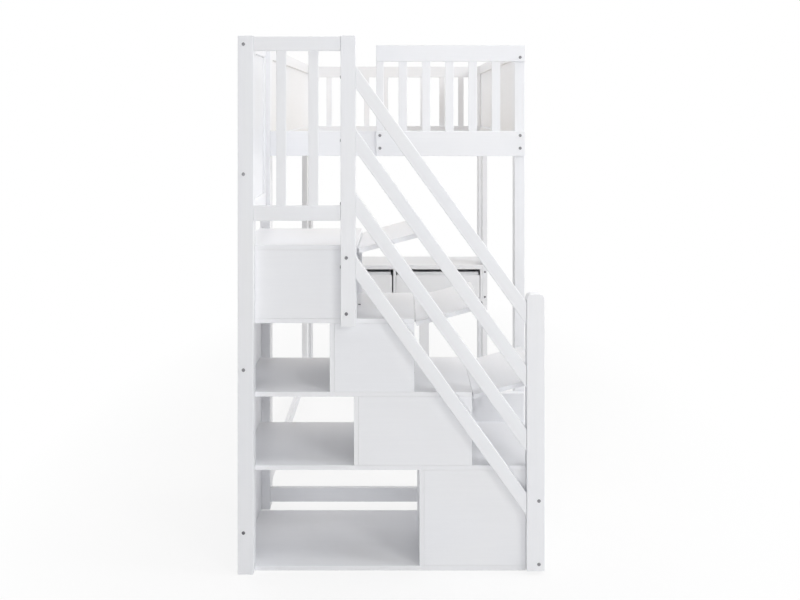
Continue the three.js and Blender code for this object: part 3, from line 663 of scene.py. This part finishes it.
def make_side_guards():
    make_panel_guard("left_guard", -1, LONG_GUARD_Y, LONG_GUARD_FOOT)
    make_panel_guard("right_guard", 1, LONG_GUARD_Y, LONG_GUARD_FOOT)
    make_panel_guard("landing_side_guard", -1, SIDE_GUARD_Y, LANDING_LOW_RAIL[0], LANDING_LOW_RAIL)


# Flaps and their hinges, which turn about a pivot in X and Z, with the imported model's sizes
FLAP_PIVOTS = {2: (286.3, 607.23), 3: (84.3, 864.57), 4: (-117.7, 1121.9)}
FLAP_FOOT_Z = {2: 371.0, 3: 628.33, 4: 885.67}
FLAP_OPEN_ANGLE = math.radians(105)
FLAP_Y = (-1210.2, -778.5)
FLAP_THICKNESS = 16.0
FLAP_FOOT_GAP = 3.0
HINGE_LENGTH = 380.0
HINGE_MIDDLE_Y = -994.35
HINGE_Y = around(HINGE_MIDDLE_Y, HINGE_LENGTH / 2)
KNUCKLE_RADIUS = 3.0
KNUCKLE_GAP = 0.5
KNUCKLE_COUNT = 5
KNUCKLE_CHAMFER = 0.3
KNUCKLE_CLEAR_X = -KNUCKLE_RADIUS - KNUCKLE_GAP
ROD_RADIUS = 1.2
ROD_CHAMFER = 0.2
BAR_SIDES = 20
LEAF_THICKNESS = 1.5
LEAF_REACH = 10.0
LEAF_LOW_X = -KNUCKLE_RADIUS - LEAF_REACH
SCREW_PITCH = 84.0
SCREW_STEPS = (-2, -1, 0, 1, 2)
SCREW_SIDES = 16

# A countersunk screw head with its recess: (radius, height above the leaf)
SCREW_PROFILE = [(2.6, -0.4), (2.6, 0.10), (2.2, 0.22), (1.0, 0.25), (0.9, -0.3), (0.2, -0.35)]


def knuckles(first):
    """Stretches of Y of every other knuckle, from the first."""
    pitch = HINGE_LENGTH / KNUCKLE_COUNT
    starts = [HINGE_Y[0] + index * pitch for index in range(first, KNUCKLE_COUNT, 2)]
    return [(start + KNUCKLE_GAP / 2, start + pitch - KNUCKLE_GAP / 2) for start in starts]


def add_bar(bm, radius, y, chamfer, matrix):
    """A round bar along Y about the pivot, with small chamfers."""
    length = y[1] - y[0]
    profile = [(radius - chamfer, 0.0), (radius, chamfer),
               (radius, length - chamfer), (radius - chamfer, length)]
    turn = Matrix.Translation(Vector((0, y[0], 0)) * MM) @ aim(TO_BACK)
    revolve(bm, profile, BAR_SIDES, matrix @ turn)


def add_leaf(bm, z, matrix, first, screws_down):
    """One hinge leaf about the pivot: plate, tabs, knuckles and countersunk screws."""
    plates = [((LEAF_LOW_X, HINGE_Y[0], z[0]), (KNUCKLE_CLEAR_X, HINGE_Y[1], z[1]))]
    for knuckle in knuckles(first):
        plates.append(((KNUCKLE_CLEAR_X - KNUCKLE_GAP, knuckle[0], z[0]), (0.0, knuckle[1], z[1])))
        add_bar(bm, KNUCKLE_RADIUS, knuckle, KNUCKLE_CHAMFER, matrix)
    for low, high in plates:
        for vertex in add_block(bm, low, high):
            vertex.co = matrix @ vertex.co
    face_z, direction = (z[0], DOWN) if screws_down else (z[1], UP)
    middle_x = middle_of((LEAF_LOW_X, KNUCKLE_CLEAR_X))
    for step in SCREW_STEPS:
        place = Vector((middle_x, HINGE_MIDDLE_Y + step * SCREW_PITCH, face_z)) * MM
        revolve(bm, SCREW_PROFILE, SCREW_SIDES, matrix @ Matrix.Translation(place) @ aim(direction))


def leaf_object(name, bm, body, node):
    """A finished hinge leaf, with sharp edges between its flat faces."""
    leaf = new_object(name, bm, HINGE)
    leaf.data.set_sharp_from_angle(angle=HINGE_SHARP_ANGLE)
    assign(leaf, body, node)


def make_flaps():
    """Each flap's board, rebated for its hinge, the leaf on it, and the leaf under the tread."""
    leaf_z = (FIT_GAP, FIT_GAP + LEAF_THICKNESS)
    inner = KNUCKLE_RADIUS - FLAP_THICKNESS
    for level, (pivot_x, pivot_z) in FLAP_PIVOTS.items():
        body, flap, hinge = f"flap_{level}", f"riser_flap_{level}", f"flap_hinge_{level}"
        pivot = Matrix.Translation(Vector((pivot_x, 0, pivot_z)) * MM)
        open_turn = pivot @ Matrix.Rotation(-FLAP_OPEN_ANGLE, 4, "Y")
        foot = FLAP_FOOT_Z[level] - pivot_z
        outline = [(inner, foot), (KNUCKLE_RADIUS, foot), (KNUCKLE_RADIUS, KNUCKLE_CLEAR_X),
                   (KNUCKLE_CLEAR_X, KNUCKLE_CLEAR_X), (KNUCKLE_CLEAR_X, -leaf_z[1]), (inner, -leaf_z[1])]
        bm = bmesh.new()
        add_prism(bm, outline, FLAP_Y, open_turn)
        board = new_object(f"{flap}_board", bm, PAINTS["y"])
        round_edges(board, DESK_EDGE)
        assign(board, body, flap)
        bm = bmesh.new()
        add_leaf(bm, (-leaf_z[1], -leaf_z[0]), open_turn, first=1, screws_down=False)
        leaf_object(f"{flap}_leaf", bm, body, flap)
        bm = bmesh.new()
        add_leaf(bm, leaf_z, pivot, first=0, screws_down=True)
        add_bar(bm, ROD_RADIUS, HINGE_Y, ROD_CHAMFER, pivot)
        leaf_object(f"{hinge}_leaf", bm, BED, hinge)


# A catch disc, sunk a little into the board: (radius, height)
CATCH_PROFILE = [(5.0, -0.2), (5.0, 1.5), (4.5, 2.0), (0.5, 2.0)]
CATCH_SETBACK = 4.0
CATCH_SIDES = 24


def make_catches():
    """Magnetic catch discs on the boards under the closed flaps, one for each flap."""
    for level, (pivot_x, _) in FLAP_PIVOTS.items():
        bm = bmesh.new()
        place = Vector((pivot_x - CATCH_SETBACK, HINGE_MIDDLE_Y, FLAP_FOOT_Z[level] - FLAP_FOOT_GAP)) * MM
        revolve(bm, CATCH_PROFILE, CATCH_SIDES, Matrix.Translation(place))
        piece = new_object(f"flap_catch_{level}", bm, CATCH)
        piece.data.set_sharp_from_angle(angle=BOLT_SHARP_ANGLE)
        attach(piece, BED)


# Drawer boxes behind the fronts
DRAWER_X = {"left": (-483.7, -22.5), "right": (16.0, 483.7)}
DRAWER_Y = (880.8, 1144.5)
DRAWER_Z = (525.3, 672.5)
DRAWER_WALL = 12.0
DRAWER_FLOOR = 6.0


def make_drawer_boxes():
    """Open boxes: two long sides, front and back walls between them and a thin bottom."""
    for side, (low_x, high_x) in DRAWER_X.items():
        inner_x = (low_x + DRAWER_WALL, high_x - DRAWER_WALL)
        inner_y = (DRAWER_Y[0] + DRAWER_WALL, DRAWER_Y[1] - DRAWER_WALL)
        sides = [upright((low_x, inner_x[0]), DRAWER_Y, *DRAWER_Z),
                 upright((inner_x[1], high_x), DRAWER_Y, *DRAWER_Z)]
        ends = [upright(inner_x, (DRAWER_Y[0], inner_y[0]), *DRAWER_Z),
                upright(inner_x, (inner_y[1], DRAWER_Y[1]), *DRAWER_Z)]
        bottom = [upright(inner_x, inner_y, DRAWER_Z[0], DRAWER_Z[0] + DRAWER_FLOOR)]
        box, body = f"drawer_box_{side}", f"drawer_{side}"
        blocks_object(f"{box}_sides", sides, "y", DRAWER_EDGE, box, body)
        blocks_object(f"{box}_ends", ends, "x", DRAWER_EDGE, box, body)
        blocks_object(f"{box}_bottom", bottom, "x", DRAWER_FLOOR_EDGE, box, body)


# Slat base: slats across the ledgers, two straps on them, and two staples at each crossing
BASE_REACH = 505.5
BASE_RUN = (-663.5, 1131.5)
BASE_COUNT = 14
BASE_WIDTH = 70.0
BASE_Z = (1448.3, 1460.3)
STRAP_X = 285.5
STRAP_WIDTH = 25.0
STRAP_OVERHANG = 20.0
STRAP_THICKNESS = 1.2
STRAP_Z = (BASE_Z[1], BASE_Z[1] + STRAP_THICKNESS)
STAPLE_OFFSET = 8.0
STAPLE_HALF_WIDTH = 0.6
STAPLE_HALF_LENGTH = 6.0
STAPLE_FOOT = 0.9
STAPLE_HEAD = 1.5
STAPLE_Z = (BASE_Z[1] + STAPLE_FOOT, BASE_Z[1] + STAPLE_HEAD)


def make_slat_base():
    """Pine slats on the ledgers, held at their spacing by two stapled straps."""
    pitch = (BASE_RUN[1] - BASE_RUN[0]) / BASE_COUNT
    middles = [BASE_RUN[0] + pitch * (index + 1 / 2) for index in range(BASE_COUNT)]
    strap_y = (middles[0] - STRAP_OVERHANG, middles[-1] + STRAP_OVERHANG)
    wood_bm, strap_bm, staple_bm = bmesh.new(), bmesh.new(), bmesh.new()
    for middle in middles:
        add_block(wood_bm, *upright((-BASE_REACH, BASE_REACH), around(middle, BASE_WIDTH / 2), *BASE_Z))
    for side in (-1, 1):
        add_block(strap_bm, *upright(around(side * STRAP_X, STRAP_WIDTH / 2), strap_y, *STRAP_Z))
        for middle in middles:
            for offset in (-STAPLE_OFFSET, STAPLE_OFFSET):
                staple_x = around(side * STRAP_X + offset, STAPLE_HALF_WIDTH)
                add_block(staple_bm, *upright(staple_x, around(middle, STAPLE_HALF_LENGTH), *STAPLE_Z))
    wood = new_object("bed_slats_wood", wood_bm, PINE)
    straps = new_object("bed_slats_straps", strap_bm, STRAP)
    staples = new_object("bed_slats_staples", staple_bm, HINGE)
    round_edges(wood, BASE_EDGE)
    round_edges(straps, STRAP_EDGE, FINE_SEGMENTS)
    round_edges(staples, STAPLE_EDGE, FINE_SEGMENTS)
    for piece, slot in ((wood, PINE_SLOT), (straps, PINE_SLOT), (staples, STEEL_SLOT)):
        assign(piece, BED, "bed_slats")


# Bolt head with a domed rim and a hexagonal socket: (radius, height above the wood)
BOLT_PROFILE = [(6.0, -0.6), (6.0, 0.9), (5.75, 1.5), (5.1, 2.2), (4.1, 2.65), (3.15, 2.8),
                (2.6, 2.65), (2.58, 0.9), (0.4, 0.7)]
SOCKET_RINGS = {6, 7}
HEXAGON_SIDE = math.pi / 3
SOCKET_SCALE = 1.08
HEXAGON_SCALE = math.cos(HEXAGON_SIDE / 2) * SOCKET_SCALE
BOLT_SIDES = 24
BOLT_INSET = 20.0

FACE_X = SIDE_X - BOLT_INSET
FAR_MIDDLE_X = middle_of(FAR_LEG_X["right"])
LEG_HEIGHTS = (1851, 1496, 1468)
DESK_HEIGHTS = (676, 532)
FAR_GUARD_HEIGHTS = (1825, 1496, 1468)

# Rows of bolts: piece, X and Y on its face, the way they look, and their heights
BOLT_ROWS = [
    ("front_left_post", -FACE_X, FRONT_Y, TO_FRONT, (1844, 1392, 711, 145)),
    ("front_left_post", -SIDE_X, middle_of(FRONT_POST_Y), TO_LEFT, (1841, 1385)),
    ("landing_post", LANDING_POST_X[0] + BOLT_INSET, FRONT_Y, TO_FRONT, (906, 1101)),
    ("landing_post", LANDING_POST_X[0], middle_of(LANDING_POST_Y), TO_LEFT, (1730, 1509, 1288, 1067)),
    ("newel_post", FACE_X, FRONT_Y, TO_FRONT, (36, 256)),
    ("newel_post", SIDE_X, middle_of(NEWEL_Y), TO_RIGHT, (900, 679, 458, 237)),
    ("near_guard", FACE_X, NEAR_GUARD_Y[0], TO_FRONT, (1825, 1511, 1460)),
    ("near_guard", middle_of(NEAR_STILE_X), NEAR_GUARD_Y[0], TO_FRONT, (1511, 1460)),
    ("far_guard", -FAR_MIDDLE_X, BACK_Y, TO_BACK, FAR_GUARD_HEIGHTS),
    ("far_guard", FAR_MIDDLE_X, BACK_Y, TO_BACK, FAR_GUARD_HEIGHTS),
    ("near_left_leg", -SIDE_X, middle_of(NEAR_LEG_Y), TO_LEFT, LEG_HEIGHTS),
    ("far_left_leg", -SIDE_X, middle_of(FAR_LEG_Y), TO_LEFT, LEG_HEIGHTS),
    ("desk_left_board", -FAR_MIDDLE_X, DESK_BOARD_Y[0], TO_FRONT, DESK_HEIGHTS),
    ("near_right_leg", SIDE_X, middle_of(NEAR_LEG_Y), TO_RIGHT, LEG_HEIGHTS),
    ("far_right_leg", SIDE_X, middle_of(FAR_LEG_Y), TO_RIGHT, LEG_HEIGHTS),
    ("desk_right_board", FAR_MIDDLE_X, DESK_BOARD_Y[0], TO_FRONT, DESK_HEIGHTS),
]


def bolt_reach(index, radius, angle):
    """Radius of a bolt head's ring: the socket's rings are hexagons."""
    if index not in SOCKET_RINGS:
        return radius
    sector = (angle + HEXAGON_SIDE / 2) % HEXAGON_SIDE - HEXAGON_SIDE / 2
    return radius * HEXAGON_SCALE / math.cos(sector)


def make_bolts():
    """The bolt heads of each piece, as one object."""
    meshes = {}
    for name, x, y, direction, heights in BOLT_ROWS:
        if name not in meshes:
            meshes[name] = bmesh.new()
        for z in heights:
            matrix = Matrix.Translation(Vector((x, y, z)) * MM) @ aim(direction)
            revolve(meshes[name], BOLT_PROFILE, BOLT_SIDES, matrix, bolt_reach)
    for name, bm in meshes.items():
        piece = new_object(f"{name}_bolts", bm, BOLT)
        piece.data.set_sharp_from_angle(angle=BOLT_SHARP_ANGLE)
        assign(piece, BED, name)


# Studio: (place, width, height, power). The lamps look at the middle of the bed's near half.
LAMP_TARGET = Vector((0, -0.6, 0.9))
LAMPS = {
    "top_lamp": ((0.0, -0.3, 4.2), 4.5, 5.5, 80.0),
    "front_lamp": ((0.0, -6.5, 2.0), 4.5, 3.0, 84.0),
    "key_lamp": ((3.2, -5.0, 3.44), 1.6, 1.6, 70.0),
    "side_lamp": ((4.44, -1.79, 4.76), 1.8, 1.8, 94.0),
    "right_high_lamp": ((3.4, -0.9, 3.4), 2.5, 2.5, 14.0),
    "left_high_lamp": ((-3.4, 1.4, 3.2), 2.5, 2.5, 44.0),
    "back_right_lamp": ((4.6, 3.9, 1.4), 3.0, 2.4, 80.0),
    "back_lamp": ((0.0, 6.0, 2.0), 4.5, 3.0, 22.0),
}
WORLD_STRENGTH = 0.1
FLOOR_Z = -0.002
FLOOR_REACH = 9.0
FLOOR_ROUGHNESS = 0.9

# The floor's share of plain white grows from the bed outwards, so that it has no visible end
FLOOR_SQUEEZE = (1.0, 0.45, 0.0)
SHARE_NEAR = 0.78
FADE_NEAR = 0.55
FADE_FAR = 1.7


def camera_white(nodes, shader, target, share):
    """Mixes plain white into what the camera and mirrors see, and leaves the light as it is."""
    path = nodes.add("ShaderNodeLightPath").outputs
    glossy = nodes.calc("MAXIMUM", path["Is Camera Ray"], path["Is Glossy Ray"])
    seen = nodes.calc("MAXIMUM", glossy, path["Is Transmission Ray"])
    white = nodes.add("ShaderNodeEmission").outputs[0]
    mixed = nodes.add("ShaderNodeMixShader", {0: nodes.calc("MULTIPLY", seen, share), 1: shader, 2: white})
    nodes.tree.links.new(mixed.outputs[0], target)


def make_world():
    world = bpy.data.worlds.new("studio")
    bpy.context.scene.world = world
    nodes = Nodes(world)
    background = nodes.find("Background")
    nodes.fill(background, {"Color": (*WHITE, 1), "Strength": WORLD_STRENGTH})
    camera_white(nodes, background.outputs[0], nodes.find("World Output").inputs[0], share=1.0)


def make_floor():
    nodes = Nodes(bpy.data.materials.new("floor_white"))
    shader = nodes.find("Principled BSDF")
    nodes.fill(shader, {"Base Color": FLOOR_COLOR, "Roughness": FLOOR_ROUGHNESS})
    place = nodes.add("ShaderNodeTexCoord").outputs["Object"]
    squeezed = nodes.add("ShaderNodeMapping", {"Vector": place, "Scale": FLOOR_SQUEEZE}).outputs[0]
    reach = nodes.add("ShaderNodeVectorMath", {0: squeezed}, operation="LENGTH").outputs["Value"]
    share = nodes.scaled(reach, SHARE_NEAR, 1.0, start=FADE_NEAR, end=FADE_FAR)
    camera_white(nodes, shader.outputs[0], nodes.find("Material Output").inputs[0], share)
    bm = bmesh.new()
    bmesh.ops.create_grid(bm, x_segments=1, y_segments=1, size=FLOOR_REACH,
                          matrix=Matrix.Translation((0, 0, FLOOR_Z)))
    new_object("studio_floor", bm, nodes.owner)


def make_lamps():
    for name, (place, width, height, power) in LAMPS.items():
        light = bpy.data.lights.new(name, "AREA")
        light.shape = "RECTANGLE"
        light.size, light.size_y = width, height
        light.energy = power
        lamp = bpy.data.objects.new(name, light)
        bpy.context.scene.collection.objects.link(lamp)
        lamp.location = place
        lamp.rotation_euler = (LAMP_TARGET - Vector(place)).to_track_quat("-Z", "Y").to_euler()
        lamp.visible_camera = False


make_camera()
for board_name, (grain_way, edge_width) in CAD_BOARDS.items():
    dress_board(board_name, grain_way, edge_width)
make_posts()
make_newel()
make_guards()
make_side_guards()
make_flaps()
make_catches()
make_drawer_boxes()
make_slat_base()
make_bolts()
make_world()
make_floor()
make_lamps()
bpy.context.scene.view_settings.view_transform = "Standard"
